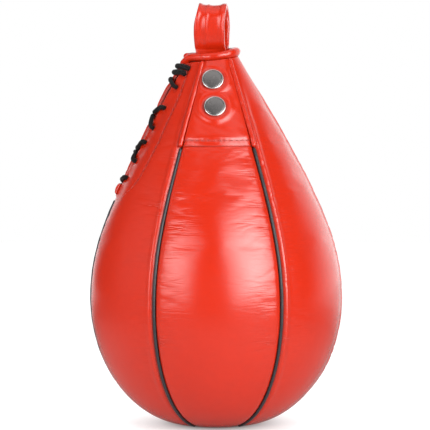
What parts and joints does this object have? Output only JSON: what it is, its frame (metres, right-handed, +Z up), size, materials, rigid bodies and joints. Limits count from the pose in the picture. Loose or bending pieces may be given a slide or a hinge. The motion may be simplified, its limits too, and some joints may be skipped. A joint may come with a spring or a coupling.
{
  "type": "speed bag",
  "caption": "Pear-shaped inflated leather ball with piped gores, riveted hanging strap loop, rolled collar and laced side slit; hangs from a hook and swings.",
  "frame": {"origin": "inside of the hanging loop's crown, where a hook carries it, on the ball's own axis", "axes": "+Z up along the ball's axis, -Y towards the front gore with the riveted patch, -X towards the laced slit"},
  "size_m": [0.155, 0.1524, 0.2555],
  "materials": {
    "red_leather": "gloss coated leather, fine grain",
    "strap_leather": "gloss coated leather, two plies, pale cut edge",
    "piping": "semi-gloss black piping",
    "lace_cord": "waxed black cord",
    "rivet_steel": "nickel plated, brushed face",
    "lining_cloth": "plain cotton drill",
    "bladder_rubber": "matt butyl",
    "valve_rubber": "matt gum rubber"
  },
  "bodies": {
    "loop": {"hang_loop": "strap_leather"},
    "bag": {"front_panel": "red_leather", "front_right_panel": "red_leather", "back_right_panel": "red_leather", "back_panel": "red_leather", "back_left_panel": "red_leather", "front_left_panel": "red_leather", "front_left_piping": "piping", "front_right_piping": "piping", "right_piping": "piping", "back_right_piping": "piping", "back_left_piping": "piping", "left_piping": "piping", "neck_collar": "red_leather", "front_neck_patch": "red_leather", "front_strap_leg": "strap_leather", "front_upper_rivet": "rivet_steel", "front_upper_burr": "rivet_steel", "front_lower_rivet": "rivet_steel", "front_lower_burr": "rivet_steel", "back_neck_patch": "red_leather", "back_strap_leg": "strap_leather", "back_upper_rivet": "rivet_steel", "back_upper_burr": "rivet_steel", "back_lower_rivet": "rivet_steel", "back_lower_burr": "rivet_steel", "near_slit_facing": "red_leather", "far_slit_facing": "red_leather", "lace": "lace_cord", "slit_tongue": "red_leather", "slit_stay": "red_leather", "lining": "lining_cloth", "bladder": "bladder_rubber", "inflation_valve": "valve_rubber"}
  },
  "joints": [
    {"name": "strap_flex", "type": "hinge", "parent": "loop", "child": "bag", "pos_m": [0, 0, -0.0233], "axis": [1, 0, 0], "range_deg": [-35, 35]}
  ]
}
